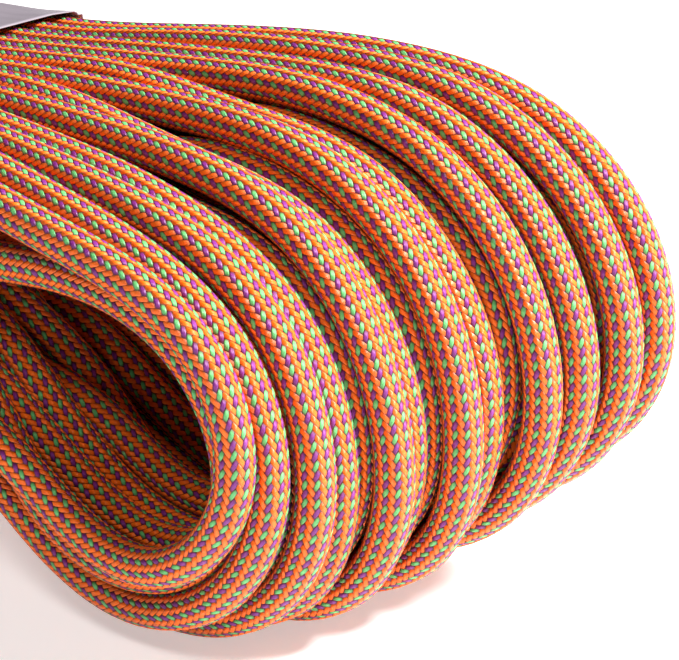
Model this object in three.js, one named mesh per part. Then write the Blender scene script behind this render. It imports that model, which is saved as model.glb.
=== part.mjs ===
// A 40 m dynamic climbing rope, wound into a hank and held round its waist by a film band.
//
// The long axis of the hank lies along X, the turns lie side by side along Y, and Z is up.
// The origin is on the surface that the hank stands on, under its middle. Sizes are in millimetres.

import * as THREE from 'three';

// Driving dimensions of the rope
const ROPE_DIAMETER = 9.8;
const SHEATH_WALL = 0.9;
const CORE_STRAND_DIAMETER = 2.2;
const CORE_STRANDS_IN_RING = 6;

// Driving dimensions of the hank
const HANK_LENGTH = 540;
const HANK_WIDTH = 116;
const HANK_HEIGHT = 130;
const WAIST_HEIGHT = 76;
const WAIST_TOP = 123;
const WAIST_HALF_LENGTH = 94;
const SHOULDER_LENGTH = 50;
const EDGE_ROUNDING = 14;

// Driving dimensions of the band
const BAND_WIDTH = 140;
const BAND_THICKNESS = 0.8;
const BAND_CLEARANCE = 0.5;

// Driving dimensions of the two rope ends
const TAIL_LENGTH = 76;
const TAIL_START = 90;
const TAIL_HEIGHT = 84;
const SLEEVE_LENGTH = 42;
const SLEEVE_WALL = 0.6;
const TIP_THICKNESS = 1.6;
const GAP = 0.4;

// Fineness of the round shapes
const ROUND_SIDES = 20;
const STRAND_SIDES = 12;
const BULB_STEPS = 14;
const CORNER_STEPS = 4;

const BAND_INNER_WIDTH = HANK_WIDTH + 2 * BAND_CLEARANCE;
const BAND_INNER_HEIGHT = WAIST_HEIGHT + 2 * BAND_CLEARANCE;
const WAIST_MIDDLE = WAIST_TOP - WAIST_HEIGHT / 2;
const SLEEVE_INNER_RADIUS = ROPE_DIAMETER / 2 + GAP;
const SLEEVE_OUTER_RADIUS = SLEEVE_INNER_RADIUS + SLEEVE_WALL;
const TAIL_SIDE = HANK_WIDTH / 2 + GAP + SLEEVE_OUTER_RADIUS;

const ROPE_ORANGE = new THREE.MeshStandardMaterial({ color: 0xe8701f, roughness: 0.6, metalness: 0 });
const CORE_WHITE = new THREE.MeshStandardMaterial({ color: 0xf1ede2, roughness: 0.7, metalness: 0 });
const FILM_GREY = new THREE.MeshStandardMaterial({ color: 0xa39da6, roughness: 0.35, metalness: 0 });
const SLEEVE_BLACK = new THREE.MeshStandardMaterial({ color: 0x1c1c1e, roughness: 0.4, metalness: 0 });
const MELTED_BROWN = new THREE.MeshStandardMaterial({ color: 0x7a3a17, roughness: 0.3, metalness: 0 });

const group = new THREE.Group();

function addPart(name, geometry, material) {
  const mesh = new THREE.Mesh(geometry, material);
  mesh.name = name;
  group.add(mesh);
  return mesh;
}

// The side view of the hank: a round bulb at each end, joined by a straight waist that rides high
// between them. The shape's own X and Y are the hank's X and Z.
function hankOutline() {
  const halfLength = HANK_LENGTH / 2;
  const radius = HANK_HEIGHT / 2;
  const bulbX = halfLength - radius;
  const waistBottom = WAIST_TOP - WAIST_HEIGHT;
  const shoulderX = WAIST_HALF_LENGTH + SHOULDER_LENGTH;
  const outline = new THREE.Shape();
  outline.moveTo(-WAIST_HALF_LENGTH, waistBottom);
  outline.lineTo(WAIST_HALF_LENGTH, waistBottom);
  outline.quadraticCurveTo(shoulderX, waistBottom, bulbX - radius / 2, radius / 3);
  outline.lineTo(bulbX - radius / 4, 0);
  outline.lineTo(bulbX, 0);
  outline.absarc(bulbX, radius, radius, -Math.PI / 2, Math.PI / 2, false);
  outline.lineTo(WAIST_HALF_LENGTH, WAIST_TOP);
  outline.lineTo(-WAIST_HALF_LENGTH, WAIST_TOP);
  outline.lineTo(-bulbX, HANK_HEIGHT);
  outline.absarc(-bulbX, radius, radius, Math.PI / 2, 3 * Math.PI / 2, false);
  outline.lineTo(radius / 4 - bulbX, 0);
  outline.lineTo(radius / 2 - bulbX, radius / 3);
  outline.quadraticCurveTo(-shoulderX, waistBottom, -WAIST_HALF_LENGTH, waistBottom);
  return outline;
}

// All the turns together, as one plain solid of the hank's outer shape with rounded long edges.
function ropeHank() {
  const geometry = new THREE.ExtrudeGeometry(hankOutline(), {
    depth: HANK_WIDTH - 2 * EDGE_ROUNDING,
    curveSegments: BULB_STEPS,
    bevelEnabled: true,
    bevelThickness: EDGE_ROUNDING,
    bevelSize: EDGE_ROUNDING,
    bevelOffset: -EDGE_ROUNDING,
    bevelSegments: CORNER_STEPS,
  });
  geometry.translate(0, 0, EDGE_ROUNDING - HANK_WIDTH / 2);
  geometry.rotateX(Math.PI / 2);
  return geometry;
}

// A rectangle with round corners, centred on the origin, as a path in the plane of a section.
function roundedRectangle(path, width, height, radius) {
  const x = width / 2 - radius;
  const y = height / 2 - radius;
  path.moveTo(x + radius, -y);
  path.lineTo(x + radius, y);
  path.absarc(x, y, radius, 0, Math.PI / 2, false);
  path.lineTo(-x, y + radius);
  path.absarc(-x, y, radius, Math.PI / 2, Math.PI, false);
  path.lineTo(-x - radius, -y);
  path.absarc(-x, -y, radius, Math.PI, 3 * Math.PI / 2, false);
  path.lineTo(x, -y - radius);
  path.absarc(x, -y, radius, 3 * Math.PI / 2, 2 * Math.PI, false);
  return path;
}

// The band is one closed strip of film round the waist.
function labelBand() {
  const innerRadius = EDGE_ROUNDING + BAND_CLEARANCE;
  const outerWidth = BAND_INNER_WIDTH + 2 * BAND_THICKNESS;
  const outerHeight = BAND_INNER_HEIGHT + 2 * BAND_THICKNESS;
  const outer = roundedRectangle(new THREE.Shape(), outerWidth, outerHeight, innerRadius + BAND_THICKNESS);
  const inner = roundedRectangle(new THREE.Path(), BAND_INNER_WIDTH, BAND_INNER_HEIGHT, innerRadius);
  outer.holes.push(inner);
  const geometry = new THREE.ExtrudeGeometry(outer, {
    depth: BAND_WIDTH,
    curveSegments: 2 * CORNER_STEPS,
    bevelEnabled: false,
  });
  geometry.translate(0, 0, -BAND_WIDTH / 2);
  geometry.rotateX(Math.PI / 2);
  geometry.rotateZ(Math.PI / 2);
  geometry.translate(0, 0, WAIST_MIDDLE);
  return geometry;
}

// A straight tube or rod whose axis runs along X from `start` to `end`.
function rod(radius, start, end, sides) {
  const geometry = new THREE.CylinderGeometry(radius, radius, end - start, sides);
  geometry.rotateZ(Math.PI / 2);
  geometry.translate((start + end) / 2, 0, 0);
  return geometry;
}

function tube(innerRadius, outerRadius, start, end, sides) {
  const profile = [
    new THREE.Vector2(innerRadius, start),
    new THREE.Vector2(outerRadius, start),
    new THREE.Vector2(outerRadius, end),
    new THREE.Vector2(innerRadius, end),
    new THREE.Vector2(innerRadius, start),
  ];
  const geometry = new THREE.LatheGeometry(profile, sides);
  geometry.rotateZ(-Math.PI / 2);
  return geometry;
}

// One rope end, which runs out from under the band along the side of the hank: the hollow sheath, the
// twisted core strands inside it, the melted tip that closes them, and the shrink sleeve over all.
// The end's own X runs from the band towards the tip.
function addRopeEnd(letter, side) {
  const end = new THREE.Group();
  end.position.set(-TAIL_START, side * TAIL_SIDE, TAIL_HEIGHT);
  end.rotation.z = Math.PI;
  group.add(end);

  const sheathRadius = ROPE_DIAMETER / 2;
  const boreRadius = sheathRadius - SHEATH_WALL;
  const sheath = tube(boreRadius, sheathRadius, 0, TAIL_LENGTH, ROUND_SIDES);
  end.add(addPart(`sheath_end_${letter}`, sheath, ROPE_ORANGE));

  const ringRadius = CORE_STRAND_DIAMETER + GAP;
  const strandEnd = TAIL_LENGTH - GAP;
  for (let i = 0; i <= CORE_STRANDS_IN_RING; i += 1) {
    const strand = rod(CORE_STRAND_DIAMETER / 2, GAP, strandEnd, STRAND_SIDES);
    if (i > 0) {
      const angle = (i / CORE_STRANDS_IN_RING) * 2 * Math.PI;
      strand.translate(0, ringRadius * Math.cos(angle), ringRadius * Math.sin(angle));
    }
    end.add(addPart(`core_strand_${letter}_${i + 1}`, strand, CORE_WHITE));
  }

  const tipStart = TAIL_LENGTH + GAP;
  const tip = rod(sheathRadius, tipStart, tipStart + TIP_THICKNESS, ROUND_SIDES);
  end.add(addPart(`fused_tip_${letter}`, tip, MELTED_BROWN));

  const sleeveEnd = tipStart + TIP_THICKNESS;
  const sleeveStart = sleeveEnd - SLEEVE_LENGTH;
  const sleeve = tube(SLEEVE_INNER_RADIUS, SLEEVE_OUTER_RADIUS, sleeveStart, sleeveEnd, ROUND_SIDES);
  end.add(addPart(`end_sleeve_${letter}`, sleeve, SLEEVE_BLACK));
}

addPart('rope_hank', ropeHank(), ROPE_ORANGE);
addPart('label_band', labelBand(), FILM_GREY);
addRopeEnd('a', -1);
addRopeEnd('b', 1);

export default group;
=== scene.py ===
# %% [markdown]
# # A wound climbing rope, held by a film band
#
# The real object is one rope, taken to be 40 m long. It is wound in long turns, side by side and on
# top of each other, and a strip of film round the waist holds them. So this scene has one very long
# cord, a band, and two finished rope ends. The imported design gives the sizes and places, in metres,
# with X along the hank, Y across its turns and Z up.

# %% Load the design
import math

import bmesh
import bpy
import numpy as np
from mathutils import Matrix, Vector


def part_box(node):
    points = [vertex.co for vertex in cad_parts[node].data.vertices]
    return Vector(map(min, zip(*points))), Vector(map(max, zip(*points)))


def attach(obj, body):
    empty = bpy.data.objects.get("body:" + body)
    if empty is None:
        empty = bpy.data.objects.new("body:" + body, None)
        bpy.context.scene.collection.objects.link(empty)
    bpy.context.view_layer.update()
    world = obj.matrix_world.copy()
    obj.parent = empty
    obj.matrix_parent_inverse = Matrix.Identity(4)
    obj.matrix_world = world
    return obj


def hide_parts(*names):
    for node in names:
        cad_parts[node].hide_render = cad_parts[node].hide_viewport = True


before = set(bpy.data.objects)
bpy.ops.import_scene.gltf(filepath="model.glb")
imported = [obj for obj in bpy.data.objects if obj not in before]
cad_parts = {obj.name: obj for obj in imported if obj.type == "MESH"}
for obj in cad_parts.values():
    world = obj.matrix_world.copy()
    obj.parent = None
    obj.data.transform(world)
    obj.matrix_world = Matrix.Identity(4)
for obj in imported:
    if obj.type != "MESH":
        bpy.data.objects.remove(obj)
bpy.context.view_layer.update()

hank_low, hank_high = (Vector(corner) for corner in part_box("rope_hank"))
band_low, band_high = (Vector(corner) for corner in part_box("label_band"))
tail_low, tail_high = (Vector(corner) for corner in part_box("sheath_end_a"))
tip_low, tip_high = (Vector(corner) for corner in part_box("fused_tip_a"))

MM = 0.001
rope_thick = tail_high.z - tail_low.z
rope_radius = rope_thick / 2
print(f"rope {rope_thick / MM:.1f} mm thick, hank {(hank_high.x - hank_low.x) / MM:.0f} mm long")


# %% [markdown]
# ## The camera
#
# The hank fills the view from close by, as in a shop's detail picture: one round end, seen a little
# from above and from its near side. A long lens keeps the turns at the back nearly as thick as the
# ones in front. The camera comes first.

# %% Set up the camera
view_azimuth = math.radians(37)
view_elevation = math.radians(20)
view_distance = 0.60
view_width = 0.1566
aim = Vector((0.2138, -0.0168, 0.0803))

camera_data = bpy.data.cameras.new("detail_camera")
camera_data.sensor_width = 36
camera_data.lens = camera_data.sensor_width * view_distance / view_width
camera = bpy.data.objects.new("detail_camera", camera_data)
bpy.context.scene.collection.objects.link(camera)
away = Vector((math.sin(view_azimuth), -math.cos(view_azimuth), math.tan(view_elevation)))
camera.location = aim + away.normalized() * view_distance
camera.rotation_euler = (aim - camera.location).to_track_quat("-Z", "Y").to_euler()
bpy.context.scene.camera = camera
print(f"camera at {[round(v, 3) for v in camera.location]}, lens {camera_data.lens:.0f} mm")


# %% [markdown]
# ## How one turn of the hank lies
#
# Each turn runs out along the top of the waist, round the end of the hank, and back along the
# bottom. The ends are not plain half circles. A rope bend sags, so the turn is fuller at its lower
# corner, and it curls back up to the waist, which rides high between the two ends. The nearest turn
# is the smallest. Each column further back rises a little higher and reaches further out, and
# behind the middle the lower corners lift off the floor again. About every second column has sunk a
# little between its neighbours. Inside a column the turns lie in layers, and every second layer
# nests in the groove beside it, so that no light comes through.
# All of it is worked out in rope thicknesses, and `far` goes from 0 at the front to 1 at the back.

# %% The shape of one end of a turn
LAYERS = (1, 2, 3, 3, 4, 3, 4, 4, 4, 4, 4, 3)
SUNK = (0, 0.3, 0, 0.5, 0, 0.65, 0.05, 0.5, 0, 0.05, 0, 0.2)
tuck_sideways = 0.22
nest_sideways = 0.5
COLUMNS = len(LAYERS)
layer_pitch = 0.83
front_bottom, front_top, back_top = 2.6, 9.8, 12.85
top_growth = 0.8
floor_middle, drop_to_floor = 0.5, 1.3
back_lift, lift_starts, lift_growth = 2.2, 0.5, 1.4
settled_columns = 3
end_reach = hank_high.x / rope_thick - 0.5
front_shortfall, corner_shortfall, back_shortfall = 3.5, 1.1, 0.5
back_stretch = 1.8
bend_sag, middle_squareness, back_squareness = 0.8, 3.2, 2.4
front_lean, back_lean = math.radians(-12), math.radians(-5)
front_curl, back_curl = math.radians(60), math.radians(35)
bend_step = 6 * MM


def between(front, back, far):
    return front + (back - front) * far


def end_bend(column, layer, side):
    """Points of one turn's end from top to bottom, and the ways it leaves and comes back."""
    far = column / (COLUMNS - 1)
    top = between(front_top, back_top, far**top_growth)
    bottom = floor_middle + (front_bottom - floor_middle) * math.exp(-drop_to_floor * column)
    bottom += back_lift * max(0, (far - lift_starts) / (1 - lift_starts)) ** lift_growth
    settled = min(1, column / settled_columns)
    outer = (top - bottom) / 2
    sunk = SUNK[column] * (1 - layer / max(LAYERS))
    wide = outer - layer * layer_pitch - sunk
    sag = bend_sag * settled
    squeeze = sag * wide / outer
    upper, lower = wide + squeeze, wide - squeeze + 0.5 * sunk
    stretch = back_stretch * far**2 * wide / outer
    lean = between(front_lean, back_lean, far)
    curl = between(front_curl, back_curl, far)
    square = between(between(2, middle_squareness, settled**2), back_squareness, far**3)
    squareness = 2 / between(square, 2, layer / max(LAYERS))

    steps = max(10, round((math.pi + lean + curl) * wide * rope_thick / bend_step))
    angle = np.linspace(-lean, math.pi + curl, steps)
    sine, cosine = np.sin(angle), np.cos(angle)
    in_corner = (angle > math.pi / 2) & (angle < math.pi)
    out = np.where(in_corner, np.abs(sine) ** squareness, sine)
    down = np.where(in_corner, -(np.abs(cosine) ** squareness), cosine)
    up = np.where(angle < math.pi / 2, upper * cosine, lower * down)

    reach = end_reach - back_shortfall
    reach = reach - front_shortfall * (1 - far) - corner_shortfall * (1 - far**4)
    x = side * (reach - outer - back_stretch * far**2 + (wide + stretch) * out)
    y = column - (COLUMNS - 1) / 2 - tuck_sideways * SUNK[column] - nest_sideways * (layer % 2)
    z = bottom + outer - sag + up
    leaving = np.array((math.cos(lean), 0, math.sin(lean)))
    returning = np.array((-math.cos(curl), 0, math.sin(curl)))
    return np.stack([x, np.full(steps, y), z], axis=1) * rope_thick, leaving, returning


print(f"{COLUMNS} columns, {sum(LAYERS)} turns")


# %% [markdown]
# ## How the turns pass through the waist
#
# Under the band the rope lies in rows. The outermost turn of every column runs in the top row and
# comes back in the bottom row, as a skin over the others, so that no limb has to cross another one
# to reach its end. The rest fill three rows out and three rows back inside that skin. A smooth
# curve, which starts and ends along given directions, joins a berth to the end of the turn.

# %% Berths in the waist, and the limbs that lead to them
INNER_ROWS = 3
skin_pitch, inner_pitch, row_height = 0.93, 1.02, 0.93
waist_middle = 8.55
limb_rise = 0.16
limb_pull = 0.9
LIMB_POINTS = 12
straight_half = (band_high.x + 8 * MM) / rope_thick


def layers_in_order(column):
    """Odd columns are wound from the inside out and even ones back in, so the rope never jumps."""
    inside_out = list(reversed(range(LAYERS[column])))
    return inside_out if column % 2 else inside_out[::-1]


order = [(column, layer) for column in range(COLUMNS) for layer in layers_in_order(column)]
inner = sorted(((column, -layer) for column, layer in order if layer > 0))
inner_columns = math.ceil(len(inner) / INNER_ROWS)


def berth(turn, side, upper):
    """Where a turn crosses one edge of the band, on its way out (upper) or back (lower)."""
    column, layer = order[turn]
    if layer == 0:
        y, row = (column - (COLUMNS - 1) / 2) * skin_pitch, INNER_ROWS
    else:
        across, row = divmod(inner.index((column, -layer)), INNER_ROWS)
        y = (across - (inner_columns - 1) / 2) * inner_pitch
    height = (row + 0.5) * row_height
    z = waist_middle + (height if upper else -height)
    return np.array((side * straight_half, y, z)) * rope_thick


def limb(start, end, leaving, arriving):
    """A smooth curve from start to end that leaves and arrives along the given directions."""
    pull = np.linalg.norm(end - start) * limb_pull
    t = np.linspace(0, 1, LIMB_POINTS)[:, None]
    from_start = (2 * t**3 - 3 * t**2 + 1) * start
    from_start = from_start + (t**3 - 2 * t**2 + t) * pull * np.asarray(leaving)
    to_end = (3 * t**2 - 2 * t**3) * end + (t**3 - t**2) * pull * np.asarray(arriving)
    return from_start + to_end


def turn_end(turn, side):
    """One end of a turn from the waist and back to it, in the order that the rope is wound."""
    bend, leaving, returning = end_bend(*order[turn], side)
    flip = np.array((side, 1, 1))
    outward = np.array((side, 0, 0))
    rising = np.array((side, 0, limb_rise * order[turn][0] / (COLUMNS - 1)))
    out = limb(berth(turn, side, True), bend[0], rising, leaving * flip)
    back = limb(bend[-1], berth(turn, side, False), returning * flip, -outward)
    route = np.vstack([out[:-1], bend, back[1:]])
    return route if side > 0 else route[::-1]


print(f"{len(order)} turns, {len(inner)} of them inside the skin")


# %% [markdown]
# ## The whole route, from one rope end to the other
#
# End A comes out from under the band on the near side, and end B on the far side. Between them the
# rope winds through every turn: right end, waist, left end, waist, and on to the next turn. The
# left end of a turn climbs to the next turn's berth.

# %% Join the turns into one route
tail_points = 10
tail_joins = np.array((0.8, 1, 1))
tail_x = np.linspace(tail_low.x, tail_high.x, tail_points)
tail_middle = (tail_low + tail_high) / 2


def tail_route(side):
    y = np.full(tail_points, side * abs(tail_middle.y))
    z = np.full(tail_points, tail_middle.z)
    return np.stack([tail_x, y, z], axis=1)


def left_end(turn):
    """The left end of a turn, eased over its last stretch to the next turn's berth."""
    route = turn_end(turn, -1)
    shift = berth(turn + 1, -1, True) - berth(turn, -1, True)
    ease = (np.arange(1 - LIMB_POINTS, 1) / (LIMB_POINTS - 1) + 1)[:, None]
    route[-LIMB_POINTS:] += ease**2 * (3 - 2 * ease) * shift
    return route


def rope_route():
    tail_a, tail_b = tail_route(-1), tail_route(1)[::-1]
    along = (1, 0, 0)
    legs = [tail_a, limb(tail_a[-1], berth(0, 1, True) * tail_joins, along, along)[1:-1]]
    for turn in range(len(order)):
        legs.append(turn_end(turn, 1))
        if turn < len(order) - 1:
            legs.append(left_end(turn))
    last = berth(len(order) - 1, 1, False) * tail_joins
    legs += [limb(last, tail_b[0], (-1, 0, 0), (-1, 0, 0))[:-1], tail_b]
    return np.vstack(legs)


def even_points(route, step):
    """The same route with points an even step apart."""
    spans = np.linalg.norm(np.diff(route, axis=0), axis=1)
    travelled = np.concatenate([[0], np.cumsum(spans)])
    wanted = np.linspace(0, travelled[-1], round(travelled[-1] / step) + 1)
    return np.stack([np.interp(wanted, travelled, axis) for axis in route.T], axis=1)


settle_step = 9 * MM
route = even_points(rope_route(), settle_step)
print(f"route of {len(route)} points, {(len(route) - 1) * settle_step:.1f} m")


# %% [markdown]
# ## Let the turns settle against each other
#
# The planned route still has turns that run into each other where the limbs fan out. A small
# simulation eases that, as winding does on the real rope. Each round pushes apart the points that
# are too close, straightens kinks as a stiff rope would, pulls gently back towards the plan, keeps
# the spacing along the rope, and keeps everything above the floor. Every few rounds the near points
# are found again by sorting all points into cells, which needs no search through all pairs.

# %% Find points of the rope that are close to each other
steps_each_way = (-1, 0, 1)
all_cells = [(i, j, k) for i in steps_each_way for j in steps_each_way for k in steps_each_way]
ahead_cells = [cell for cell in all_cells if cell >= (0, 0, 0)]


def close_pairs(points, reach, skip):
    """Pairs of points that may be within reach, leaving out near neighbours along the rope."""
    cells = np.floor(points / reach).astype(np.int64)
    cells -= cells.min(axis=0) - 1
    span = cells.max(axis=0) + 2
    key = (cells[:, 0] * span[1] + cells[:, 1]) * span[2] + cells[:, 2]
    by_cell = np.argsort(key, kind="stable")
    sorted_key = key[by_cell]
    found = []
    for i, j, k in ahead_cells:
        target = key + (i * span[1] + j) * span[2] + k
        first = np.searchsorted(sorted_key, target, "left")
        count = np.searchsorted(sorted_key, target, "right") - first
        one = np.repeat(np.arange(len(points)), count)
        place = np.arange(count.sum()) - np.repeat(np.cumsum(count) - count, count)
        other = by_cell[np.repeat(first, count) + place]
        wanted = np.abs(one - other) > skip
        if (i, j, k) == (0, 0, 0):
            wanted &= one < other
        found.append(np.stack([one[wanted], other[wanted]]))
    return np.concatenate(found, axis=1)


# %% Settle the route
SETTLE_ROUNDS = 160
pairs_every = 5
search_reach, skipped_reach = 1.35, 2.5
push_strength, crowd_damping = 1.2, 0.8
stiffness, straightenings = 0.35, 2
home_pull = 0.02
spacing_share = 1 / 4
never_zero = 1e-9


def neighbour_mean(values):
    mean = values.copy()
    mean[1:-1] = (values[:-2] + values[2:]) / 2
    return mean


def settle(points):
    planned = points.copy()
    spacing = np.linalg.norm(np.diff(points, axis=0), axis=1)
    skip = round(skipped_reach * rope_thick / settle_step)
    held = np.zeros(len(points), bool)
    held[:tail_points] = held[-tail_points:] = True
    for this_round in range(SETTLE_ROUNDS):
        if this_round % pairs_every == 0:
            one, other = close_pairs(points, rope_thick * search_reach, skip)
        apart = points[one] - points[other]
        distance = np.linalg.norm(apart, axis=1) + never_zero
        touching = distance < rope_thick
        push = ((rope_thick - distance) / distance / 2)[touching, None] * apart[touching]
        move = np.zeros_like(points)
        times = np.ones(len(points))
        for index, sign in ((one[touching], 1), (other[touching], -1)):
            np.add.at(move, index, sign * push)
            np.add.at(times, index, crowd_damping)
        points = points + push_strength * move / times[:, None]
        for _ in range(straightenings):
            bow = neighbour_mean(points) - points
            points = points + stiffness * (bow - neighbour_mean(bow))
        points = points + home_pull * (planned - points)
        gaps = np.diff(points, axis=0)
        length = np.linalg.norm(gaps, axis=1)
        pull = ((length - spacing) / length * spacing_share)[:, None] * gaps
        points[:-1] += pull
        points[1:] -= pull
        points[:, 2] = np.maximum(points[:, 2], rope_radius)
        points[held] = planned[held]
    return points, touching.sum(), (rope_thick - distance).max()


route, touches, deepest = settle(route)
print(f"settled: {touches} touching pairs, deepest overlap {deepest / MM:.1f} mm")


# %% [markdown]
# ## From a route to a rope
#
# The rope could be a bevelled curve, but the braid needs a map that runs round the rope and along
# it, so a mesh tube is better. The rings follow the route without twisting: each ring's direction
# is the last one's, turned just enough to stay square to the rope. The tube has fewer rings where
# the rope runs straight, which keeps the long cord light. The map's U runs once round the rope, and
# its V is the distance along the rope in metres.

# %% Smooth the settled route and choose where the rings go
RING_SIDES = 12
bend_ring_step, straight_ring_step = 3.6 * MM, 8 * MM
fine_step = 1.2 * MM
full_bend = 12


def smooth_route(points, step):
    """A curve through the settled points, finely sampled, with cubic pieces between them."""
    before = np.vstack([2 * points[0] - points[1], points[:-2]])
    start, end = points[:-1], points[1:]
    after = np.vstack([points[2:], 2 * points[-1] - points[-2]])
    t = np.linspace(0, 1, round(settle_step / step), endpoint=False)[None, :, None]
    before, start, end, after = (part[:, None, :] for part in (before, start, end, after))
    curve = 0.5 * (
        2 * start + (end - before) * t
        + (2 * before - 5 * start + 4 * end - after) * t**2
        + (3 * start - before - 3 * end + after) * t**3
    )
    return np.vstack([curve.reshape(-1, 3), points[-1:]])


def ring_places(curve):
    """Indexes along the curve, closest together where it turns by full_bend radians a metre."""
    way = np.diff(curve, axis=0)
    length = np.linalg.norm(way, axis=1)
    way /= length[:, None]
    turning = np.linalg.norm(np.diff(way, axis=0), axis=1) / length[1:]
    turning = np.concatenate([turning[:1], turning, turning[-1:]])
    bend = np.clip(turning / full_bend, 0, 1)
    wanted = straight_ring_step + (bend_ring_step - straight_ring_step) * bend
    rings = np.concatenate([[0], np.cumsum(length / wanted[1:])])
    wanted_rings = np.linspace(0, rings[-1], round(rings[-1]) + 1)[:-1]
    return np.searchsorted(rings, wanted_rings).tolist() + [len(curve) - 1]


curve = smooth_route(route, fine_step)
travelled = np.concatenate([[0], np.cumsum(np.linalg.norm(np.diff(curve, axis=0), axis=1))])
places = ring_places(curve)
middles, distances = curve[places], travelled[places]


# %% Turn the rings along the route without twist
def ring_directions(middles):
    way = np.gradient(middles, axis=0)
    way /= np.linalg.norm(way, axis=1)[:, None]
    side = np.empty_like(way)
    side[0] = np.cross(way[0], (0, 0, 1))
    for i in range(1, len(way)):
        carried = side[i - 1] - way[i] * np.dot(side[i - 1], way[i])
        side[i] = carried / np.linalg.norm(carried)
    return way, side, np.cross(way, side)


# %% Make the tube
def finished_object(mesh_data, name, body):
    """A piece at the origin, linked to the scene, that rides on a body of the design."""
    piece = bpy.data.objects.new(name, mesh_data)
    bpy.context.scene.collection.objects.link(piece)
    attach(piece, body)
    return piece


def rope_mesh(middles, distances):
    way, side, up = ring_directions(middles)
    around = np.arange(RING_SIDES) / RING_SIDES * 2 * math.pi
    cosine, sine = (part[None, :, None] for part in (np.cos(around), np.sin(around)))
    spokes = cosine * side[:, None] + sine * up[:, None]
    corners = (middles[:, None] + rope_radius * spokes).reshape(-1, 3)
    rings = len(middles)
    first = np.arange(rings - 1)[:, None] * RING_SIDES
    here = (first + np.arange(RING_SIDES)).ravel()
    beside = (first + (np.arange(RING_SIDES) + 1) % RING_SIDES).ravel()
    quads = np.stack([here, beside, beside + RING_SIDES, here + RING_SIDES], axis=1)
    last = (rings - 1) * RING_SIDES
    caps = [list(range(RING_SIDES))[::-1], list(range(last, last + RING_SIDES))]
    mesh = bpy.data.meshes.new("climbing_rope")
    mesh.from_pydata(corners.tolist(), [], quads.tolist() + caps)

    u = np.tile(np.arange(RING_SIDES) / RING_SIDES, rings - 1)
    low = np.repeat(distances[:-1], RING_SIDES)
    high = np.repeat(distances[1:], RING_SIDES)
    u_next = u + 1 / RING_SIDES
    quad_map = np.stack([u, low, u_next, low, u_next, high, u, high], axis=1).ravel()
    cap_map = np.zeros(4 * RING_SIDES)
    braid_map = mesh.uv_layers.new(name="braid_map")
    braid_map.data.foreach_set("uv", np.concatenate([quad_map, cap_map]).astype(np.float32))
    mesh.polygons.foreach_set("use_smooth", [True] * len(quads) + [False] * 2)
    mesh.update()
    return mesh


rope = finished_object(rope_mesh(middles, distances), "climbing_rope", "hank")
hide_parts("rope_hank", "sheath_end_a", "sheath_end_b")
print(f"rope mesh: {2 * RING_SIDES * (len(places) - 1)} triangles")


# %% [markdown]
# ## The braided sheath
#
# Forty yarns make the sheath: twenty run one way round it and twenty the other way, and each passes
# over two and under two. One way they are all orange. The other way they are green and purple in
# turn, so the flecks stand in columns along the rope. The pattern is worked out from the braid map:
# `a` and `b` count the yarns that run each way. A yarn is a round ridge that rises and dips in
# waves four yarns long. Where two yarns cross, the higher one is seen, and its height also drives
# the bump and a painted shade. The low gaps between the yarns, and the seams where two yarns meet,
# are painted dark red for the shade that falls there.

# %% Small helpers for shader nodes
def new_material(name):
    material = bpy.data.materials.new(name)
    material.use_nodes = True
    shader = material.node_tree.nodes["Principled BSDF"]
    return material, material.node_tree, shader


class Maths:
    """Builds Math nodes, so that a formula reads like one."""

    def __init__(self, tree):
        self.tree = tree

    def __call__(self, operation, first, second=None, third=None):
        node = self.tree.nodes.new("ShaderNodeMath")
        node.operation = operation
        for socket, value in zip(node.inputs, (first, second, third)):
            if isinstance(value, (int, float)):
                socket.default_value = value
            elif value is not None:
                self.tree.links.new(value, socket)
        return node.outputs[0]


def mix_colours(tree, share, first, second):
    node = tree.nodes.new("ShaderNodeMix")
    node.data_type = "RGBA"
    for number, value in ((0, share), (6, first), (7, second)):
        socket = node.inputs[number]
        if isinstance(value, (tuple, float, int)):
            socket.default_value = value
        else:
            tree.links.new(value, socket)
    return node.outputs[2]


def noise(tree, vector, scale, detail=2.0):
    node = tree.nodes.new("ShaderNodeTexNoise")
    node.inputs["Scale"].default_value = scale
    node.inputs["Detail"].default_value = detail
    tree.links.new(vector, node.inputs["Vector"])
    return node.outputs["Fac"]


def bump(tree, shader, height, distance, strength=1.0):
    node = tree.nodes.new("ShaderNodeBump")
    node.inputs["Strength"].default_value = strength
    node.inputs["Distance"].default_value = distance
    tree.links.new(height, node.inputs["Height"])
    tree.links.new(node.outputs["Normal"], shader.inputs["Normal"])


# %% The braid
YARNS = 40
FILAMENTS = 5
row_pitch = 2.15 * MM
wave_height, ridge_drop, ridge_squareness = 0.75, 0.45, 3.5
orange_lead = 0.34
filament_height = 0.03
patches_round, patches_along, patch_scale = 8.0, 300.0, 1.5
wear = 0.6
# Painted shade: these numbers set how far the dark red shade colour is mixed into the low gaps
# between yarns and into the seams where two yarns meet.
gap_shade_depth, gap_shade_sharpness, gap_shade_floor = 2.0, 3.2, 0.1
braid_relief = 0.95 * MM
orange = (0.97, 0.175, 0.004, 1)
deep_orange = (0.74, 0.060, 0.002, 1)
green = (0.11, 0.42, 0.13, 1)
purple = (0.18, 0.016, 0.19, 1)
# The dark red of the painted shade in the gaps and seams of the braid.
gap_shade = (0.09, 0.003, 0.001, 1)


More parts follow.
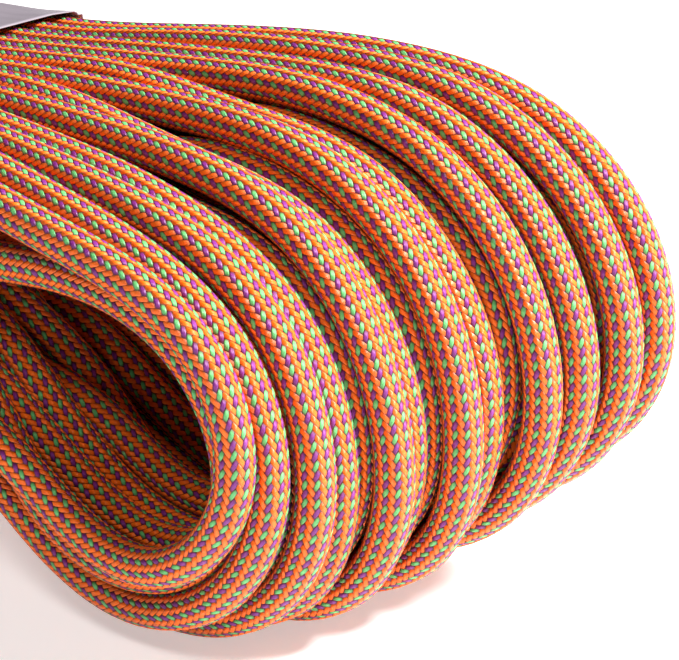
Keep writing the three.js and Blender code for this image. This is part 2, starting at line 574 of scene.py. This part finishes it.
def braid_material():
    material, tree, shader = new_material("braided_sheath")
    maths = Maths(tree)
    uv = tree.nodes.new("ShaderNodeUVMap")
    uv.uv_map = "braid_map"
    parts = tree.nodes.new("ShaderNodeSeparateXYZ")
    tree.links.new(uv.outputs["UV"], parts.inputs["Vector"])
    half_round = maths("MULTIPLY", parts.outputs["X"], YARNS / 2)
    along_rope = maths("DIVIDE", parts.outputs["Y"], row_pitch)
    a = maths("SUBTRACT", along_rope, half_round)
    b = maths("ADD", along_rope, half_round)
    yarn_a, yarn_b = maths("ROUND", a), maths("ROUND", b)

    def ridge(off_centre, wave_place):
        """The height of a yarn's surface: a round cross-section that rides on a wave."""
        side = maths("POWER", maths("ABSOLUTE", maths("MULTIPLY", off_centre, 2)), ridge_squareness)
        wave = maths("COSINE", maths("MULTIPLY", wave_place, math.pi / 2))
        rise, fall = maths("MULTIPLY", wave, wave_height), maths("MULTIPLY", side, ridge_drop)
        return maths("SUBTRACT", rise, fall)

    off_a, off_b = maths("SUBTRACT", a, yarn_a), maths("SUBTRACT", b, yarn_b)
    height_a = ridge(off_a, maths("ADD", maths("SUBTRACT", b, yarn_a), 0.5))
    height_b = ridge(off_b, maths("ADD", maths("SUBTRACT", a, yarn_b), 1.5))
    height_b = maths("ADD", height_b, orange_lead)
    orange_on_top = maths("GREATER_THAN", height_b, height_a)
    height = maths("MAXIMUM", height_a, height_b)
    step = maths("ABSOLUTE", maths("SUBTRACT", height_a, height_b))

    off_top = maths("MULTIPLY_ADD", maths("SUBTRACT", off_b, off_a), orange_on_top, off_a)
    filaments = maths("SINE", maths("MULTIPLY", off_top, 2 * math.pi * FILAMENTS))
    filaments = maths("MULTIPLY", filaments, filament_height)
    stretched = tree.nodes.new("ShaderNodeCombineXYZ")
    tree.links.new(maths("MULTIPLY", parts.outputs["X"], patches_round), stretched.inputs["X"])
    tree.links.new(maths("MULTIPLY", parts.outputs["Y"], patches_along), stretched.inputs["Y"])
    uneven = noise(tree, stretched.outputs["Vector"], patch_scale)

    is_odd = maths("FLOORED_MODULO", yarn_a, 2)
    fleck = mix_colours(tree, is_odd, green, purple)
    colour = mix_colours(tree, orange_on_top, fleck, orange)
    deepened = maths("MULTIPLY", maths("MULTIPLY", uneven, wear), orange_on_top)
    worn = mix_colours(tree, deepened, colour, deep_orange)
    # Painted shade: the colour goes to the dark red shade where a yarn lies low, and along the seams
    # where two crossing yarns stand at nearly one height.
    unshaded = maths("MINIMUM", maths("MULTIPLY", height, gap_shade_depth), 1.0)
    clear = maths("MINIMUM", maths("MULTIPLY_ADD", step, gap_shade_sharpness, gap_shade_floor), 1.0)
    unshaded = maths("MULTIPLY", maths("MAXIMUM", unshaded, 0.0), clear)
    tree.links.new(mix_colours(tree, unshaded, gap_shade, worn), shader.inputs["Base Color"])

    roughness = maths("MULTIPLY_ADD", height, -0.2, 0.6)
    tree.links.new(roughness, shader.inputs["Roughness"])
    shader.inputs["Specular IOR Level"].default_value = 0.4
    shader.inputs["Sheen Weight"].default_value = 0.02
    shader.inputs["Sheen Roughness"].default_value = 0.35
    shader.inputs["Sheen Tint"].default_value = (1.0, 0.82, 0.78, 1)
    bump(tree, shader, maths("ADD", height, filaments), braid_relief)
    return material


sheath = braid_material()
rope.data.materials.append(sheath)
print(f"braid of {YARNS} yarns, rows {row_pitch / MM:.2f} mm apart")


# %% [markdown]
# ## The film band
#
# The band is one strip of thin grey film, drawn snugly round the waist and stuck to itself. Such
# film can't follow the hollows between strands. It spans from strand to strand, so at each place
# along the rope it has the outline of a string pulled round all the strands. That outline is found
# by asking, for many directions round the waist, how far out the furthest strand reaches. The
# question takes in a little more of the rope than the slide needs, so the film clears the strands
# wherever it slides to. A bmesh circle, extruded along the waist, gives the strip, and each ring is
# then moved to its outline.

# %% Find the outline of film pulled tight round the strands
BAND_DIRECTIONS = 120
BAND_STATIONS = 57
film_thick = 0.25 * MM
film_gap = 0.35 * MM
slide_room = 9 * MM
band_x = np.linspace(band_low.x, band_high.x, BAND_STATIONS)
turn_angle = 2 * math.pi * np.arange(BAND_DIRECTIONS) / BAND_DIRECTIONS
directions = np.stack([np.cos(turn_angle), np.sin(turn_angle)], axis=1)


def furthest_reach(x):
    """How far out the strands near x reach in each direction, seen along the rope."""
    near = np.abs(curve[:, 0] - x) < slide_room
    return (curve[near][:, 1:] @ directions.T).max(axis=0) + rope_radius + film_gap


def smoothed(values, rounds):
    for _ in range(rounds):
        padded = np.vstack([values[:1], values, values[-1:]])
        values = (padded[:-2] + 2 * values + padded[2:]) / 4
    return values


reach = smoothed(np.array([furthest_reach(x) for x in band_x]), 3)


def tight_outline(reach_here):
    """Corners where each direction's furthest line meets the next one's."""
    after = np.roll(reach_here, -1)
    ahead = np.roll(directions, -1, axis=0)
    area = directions[:, 0] * ahead[:, 1] - directions[:, 1] * ahead[:, 0]
    y = (reach_here * ahead[:, 1] - after * directions[:, 1]) / area
    z = (after * directions[:, 0] - reach_here * ahead[:, 0]) / area
    return np.stack([y, z], axis=1)


outlines = np.array([tight_outline(here) for here in reach]).reshape(BAND_STATIONS, -1)
outlines = smoothed(outlines, 2).reshape(BAND_STATIONS, BAND_DIRECTIONS, 2)
girth = np.linalg.norm(outlines - np.roll(outlines, 1, axis=1), axis=2).sum(axis=1)
print(f"film goes {girth.mean() / MM:.0f} mm round the waist")


# %% Extrude the strip and give it its outline, creases and edges
slack_width, slack_height = 7 * MM, 0.35 * MM
crease_height = 0.22 * MM


def film_ripple(x, angle):
    """Shallow slanted creases and a slack edge, in metres outwards."""
    from_edge = min(x - band_low.x, band_high.x - x)
    slack = math.exp(-from_edge / slack_width)
    crease = math.sin(190 * x + 5 * angle) * math.sin(60 * x - 3 * angle + 1)
    edge_wave = math.sin(9 * angle + 0.7) + 0.6 * math.sin(17 * angle)
    return crease_height * (crease + 1) + slack * slack_height * (edge_wave + 1.6)


def band_mesh():
    bm = bmesh.new()
    bmesh.ops.create_circle(bm, segments=BAND_DIRECTIONS, radius=1.0, cap_ends=False)
    rings = [list(bm.verts)]
    edges = list(bm.edges)
    for _ in range(BAND_STATIONS - 1):
        made = bmesh.ops.extrude_edge_only(bm, edges=edges)["geom"]
        rings.append([item for item in made if isinstance(item, bmesh.types.BMVert)])
        edges = [item for item in made if isinstance(item, bmesh.types.BMEdge) and item.is_boundary]
    for ring, x, outline in zip(rings, band_x, outlines):
        centre = outline.mean(axis=0)
        for vert in ring:
            angle = math.atan2(vert.co.y, vert.co.x) % (2 * math.pi)
            corner = outline[round(angle / (2 * math.pi) * BAND_DIRECTIONS) % BAND_DIRECTIONS]
            outward = (corner - centre) / np.linalg.norm(corner - centre)
            y, z = corner + outward * film_ripple(x, angle)
            vert.co = (x, y, z)
    bmesh.ops.recalc_face_normals(bm, faces=bm.faces)
    for face in bm.faces:
        face.smooth = True
    mesh = bpy.data.meshes.new("label_band_film")
    bm.to_mesh(mesh)
    bm.free()
    return mesh


band = finished_object(band_mesh(), "label_band_film", "band")
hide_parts("label_band")
wall = band.modifiers.new("film_wall", "SOLIDIFY")
wall.thickness = film_thick
wall.offset = 1.0
print(f"film band: {len(band.data.polygons)} faces")


# %% [markdown]
# ## The film's finish
#
# The film is satin grey with a faint violet cast. It isn't clear, but it isn't quite even either:
# fine lines run across the strip, along the hank, and a slow cloudiness shifts its tone. A thin
# coat gives the long soft reflections of plastic film.

# %% Film material
film_grey = (0.17, 0.15, 0.175, 1)
film_pale = (0.25, 0.225, 0.255, 1)


def film_material():
    material, tree, shader = new_material("grey_film")
    place = tree.nodes.new("ShaderNodeTexCoord").outputs["Object"]
    stretch = tree.nodes.new("ShaderNodeMapping")
    stretch.inputs["Scale"].default_value = (40, 400, 400)
    tree.links.new(place, stretch.inputs["Vector"])
    lines = noise(tree, stretch.outputs["Vector"], 1.0, 3.0)
    cloud = noise(tree, place, 35, 3.0)
    maths = Maths(tree)
    tone = maths("MULTIPLY_ADD", cloud, 0.8, maths("MULTIPLY", lines, 0.2))
    tree.links.new(mix_colours(tree, tone, film_grey, film_pale), shader.inputs["Base Color"])
    tree.links.new(maths("MULTIPLY_ADD", lines, 0.2, 0.26), shader.inputs["Roughness"])
    shader.inputs["Coat Weight"].default_value = 0.3
    shader.inputs["Coat Roughness"].default_value = 0.2
    bump(tree, shader, maths("ADD", cloud, maths("MULTIPLY", lines, 0.3)), 0.3 * MM, 0.6)
    return material


band.data.materials.append(film_material())


# %% [markdown]
# ## The two rope ends
#
# A rope end is cut with a hot knife, which melts sheath and core into one hard tip. A shrink sleeve
# then grips the last few centimetres. Both are round pieces, so a profile is spun about the rope's
# own line. The tip is a little uneven, as melted nylon is, and the sleeve has rolled lips.

# %% Spin a profile about the line of one rope end
SPIN_STEPS = 48


def spun_mesh(name, profile, middle):
    """Spin (distance along -X from middle, radius) points about the X direction through middle."""
    bm = bmesh.new()
    verts = [bm.verts.new((-along, radius, 0)) for along, radius in profile]
    edges = [bm.edges.new(pair) for pair in zip(verts, verts[1:])]
    bmesh.ops.spin(
        bm, geom=verts + edges, cent=(0, 0, 0), axis=(1, 0, 0), angle=2 * math.pi,
        steps=SPIN_STEPS, use_merge=True,
    )
    bmesh.ops.remove_doubles(bm, verts=bm.verts, dist=0.01 * MM)
    bmesh.ops.translate(bm, verts=bm.verts, vec=middle)
    bmesh.ops.recalc_face_normals(bm, faces=bm.faces)
    for face in bm.faces:
        face.smooth = True
    mesh = bpy.data.meshes.new(name)
    bm.to_mesh(mesh)
    bm.free()
    return mesh


# %% Sleeves and melted tips
sleeve_low, sleeve_high = (Vector(corner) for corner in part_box("end_sleeve_a"))
sleeve_length = sleeve_high.x - sleeve_low.x
sleeve_outer = (sleeve_high.z - sleeve_low.z) / 2
sleeve_inner = rope_radius + 0.12 * MM
lip = 0.35 * MM
tip_length = tip_high.x - tip_low.x


def sleeve_profile():
    """A closed outline: along the bore, round one lip, back along the outside, round the other."""
    inside = [(0, sleeve_inner), (sleeve_length, sleeve_inner)]
    outside = [
        (sleeve_length + lip / 2, sleeve_inner + lip), (sleeve_length - lip, sleeve_outer),
        (sleeve_length - 5 * lip, sleeve_outer - lip / 2), (5 * lip, sleeve_outer - lip / 2),
        (lip, sleeve_outer), (-lip / 2, sleeve_inner + lip),
    ]
    return inside + outside + inside[:1]


def tip_profile():
    """A low rounded button with a melted bead at its rim."""
    bead = 0.3 * MM
    rim = rope_radius - bead
    return [
        (0, 0), (0, rim), (tip_length * 0.3, rope_radius),
        (tip_length * 0.7, rope_radius - bead / 3), (tip_length, rim - 2 * bead),
        (tip_length * 0.85, rim / 2), (tip_length * 0.8, 0),
    ]


def uneven_tip(mesh, seed):
    """Shift the melted surface by slow waves, so that no two tips are alike."""
    centre = sum((vert.co for vert in mesh.vertices), Vector()) / len(mesh.vertices)
    for vert in mesh.vertices:
        spoke = vert.co - centre
        angle = math.atan2(spoke.z, spoke.y)
        vert.co.x += 0.15 * MM * math.sin(3 * angle + seed) * spoke.length / rope_radius
    return mesh


end_pieces = []
for letter, seed in (("a", 0.4), ("b", 2.1)):
    low, high = (Vector(corner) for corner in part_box(f"end_sleeve_{letter}"))
    middle = (low + high) / 2
    sleeve_start = (high.x, middle.y, middle.z)
    sleeve_mesh = spun_mesh(f"shrink_sleeve_{letter}", sleeve_profile(), sleeve_start)
    sleeve = finished_object(sleeve_mesh, f"shrink_sleeve_{letter}", "hank")
    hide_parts(f"end_sleeve_{letter}")
    tip_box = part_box(f"fused_tip_{letter}")
    tip_start = (tip_box[1][0], middle.y, middle.z)
    tip_mesh = uneven_tip(spun_mesh(f"melted_tip_{letter}", tip_profile(), tip_start), seed)
    tip = finished_object(tip_mesh, f"melted_tip_{letter}", "hank")
    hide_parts(f"fused_tip_{letter}")
    end_pieces += [sleeve, tip]
print("rope end pieces:", [piece.name for piece in end_pieces])


# %% Sleeve, tip and core materials
def sleeve_material():
    material, tree, shader = new_material("shrink_tubing")
    place = tree.nodes.new("ShaderNodeTexCoord").outputs["Object"]
    maths = Maths(tree)
    grain = noise(tree, place, 900, 3.0)
    slow = noise(tree, place, 60, 2.0)
    colour = mix_colours(tree, slow, (0.012, 0.012, 0.014, 1), (0.03, 0.03, 0.034, 1))
    tree.links.new(colour, shader.inputs["Base Color"])
    tree.links.new(maths("MULTIPLY_ADD", slow, 0.25, 0.3), shader.inputs["Roughness"])
    bump(tree, shader, grain, 0.08 * MM)
    return material


def melted_material():
    material, tree, shader = new_material("melted_nylon")
    place = tree.nodes.new("ShaderNodeTexCoord").outputs["Object"]
    maths = Maths(tree)
    streaks = noise(tree, place, 260, 4.0)
    colour = mix_colours(tree, streaks, (0.42, 0.12, 0.02, 1), (0.05, 0.02, 0.012, 1))
    tree.links.new(colour, shader.inputs["Base Color"])
    tree.links.new(maths("MULTIPLY_ADD", streaks, 0.25, 0.18), shader.inputs["Roughness"])
    bump(tree, shader, streaks, 0.25 * MM)
    return material


def core_material():
    """Twisted yarn: stripes that slant round each strand."""
    material, tree, shader = new_material("core_yarn")
    place = tree.nodes.new("ShaderNodeTexCoord").outputs["Object"]
    tilt = tree.nodes.new("ShaderNodeMapping")
    tilt.inputs["Rotation"].default_value = (0, 0, math.radians(40))
    tree.links.new(place, tilt.inputs["Vector"])
    wave = tree.nodes.new("ShaderNodeTexWave")
    wave.inputs["Scale"].default_value = 260
    wave.inputs["Distortion"].default_value = 1.5
    tree.links.new(tilt.outputs["Vector"], wave.inputs["Vector"])
    colours = mix_colours(tree, wave.outputs["Fac"], (0.62, 0.58, 0.5, 1), (0.9, 0.88, 0.83, 1))
    tree.links.new(colours, shader.inputs["Base Color"])
    shader.inputs["Roughness"].default_value = 0.6
    shader.inputs["Sheen Weight"].default_value = 0.3
    bump(tree, shader, wave.outputs["Fac"], 0.2 * MM)
    return material


tubing, melted, core = sleeve_material(), melted_material(), core_material()
for piece in end_pieces:
    piece.data.materials.append(tubing if "sleeve" in piece.name else melted)
core_nodes = [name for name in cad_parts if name.startswith("core_strand")]
for name in core_nodes:
    for slot in bpy.data.objects[name].material_slots:
        slot.material = core
print(f"{len(core_nodes)} core strands inside the two ends")


# %% [markdown]
#
# The rope is limp enough to be wound and stiff enough to spring into round ends. It starts at end A
# and finishes at end B. Each end wears its sleeve and its melted tip and holds its core strands.


# %% [markdown]
# ## Floor and light
#
# The picture is bright and plain. A wide pale floor fills the background, a broad lamp high on the
# right gives each strand its highlight, and a weaker one from behind the camera, a little to the
# left, keeps the near turns readable. The gaps between the turns are left to go dark.

# %% Floor
def floor_material():
    material, tree, shader = new_material("studio_floor")
    place = tree.nodes.new("ShaderNodeTexCoord").outputs["Object"]
    tone = noise(tree, place, 3.0)
    colour = mix_colours(tree, tone, (0.90, 0.89, 0.89, 1), (0.93, 0.92, 0.92, 1))
    tree.links.new(colour, shader.inputs["Base Color"])
    shader.inputs["Roughness"].default_value = 0.6
    shader.inputs["Emission Color"].default_value = (1.0, 0.985, 0.985, 1)
    shader.inputs["Emission Strength"].default_value = 0.45
    return material


floor_mesh = bpy.data.meshes.new("studio_floor")
floor_shape = bmesh.new()
bmesh.ops.create_grid(floor_shape, x_segments=1, y_segments=1, size=6.0)
floor_shape.to_mesh(floor_mesh)
floor_shape.free()
floor = bpy.data.objects.new("studio_floor", floor_mesh)
floor.data.materials.append(floor_material())
bpy.context.scene.collection.objects.link(floor)


# %% Lamps and surroundings
def soft_lamp(name, place, size, power, colour):
    data = bpy.data.lights.new(name, "AREA")
    data.shape = "DISK"
    data.size = size
    data.energy = power
    data.color = colour
    lamp = bpy.data.objects.new(name, data)
    lamp.location = place
    lamp.rotation_euler = (aim - Vector(place)).to_track_quat("-Z", "Y").to_euler()
    bpy.context.scene.collection.objects.link(lamp)


soft_lamp("key_lamp", (0.80, 0.46, 0.78), 0.30, 50, (1.0, 0.97, 0.96))
soft_lamp("front_lamp", (0.45, -0.80, 1.15), 0.35, 7.5, (1.0, 0.98, 0.96))

world = bpy.data.worlds.new("studio")
world.use_nodes = True
world.node_tree.nodes["Background"].inputs["Color"].default_value = (1.0, 0.99, 0.99, 1)
world.node_tree.nodes["Background"].inputs["Strength"].default_value = 0.05
bpy.context.scene.world = world
bpy.context.scene.view_settings.view_transform = "Standard"
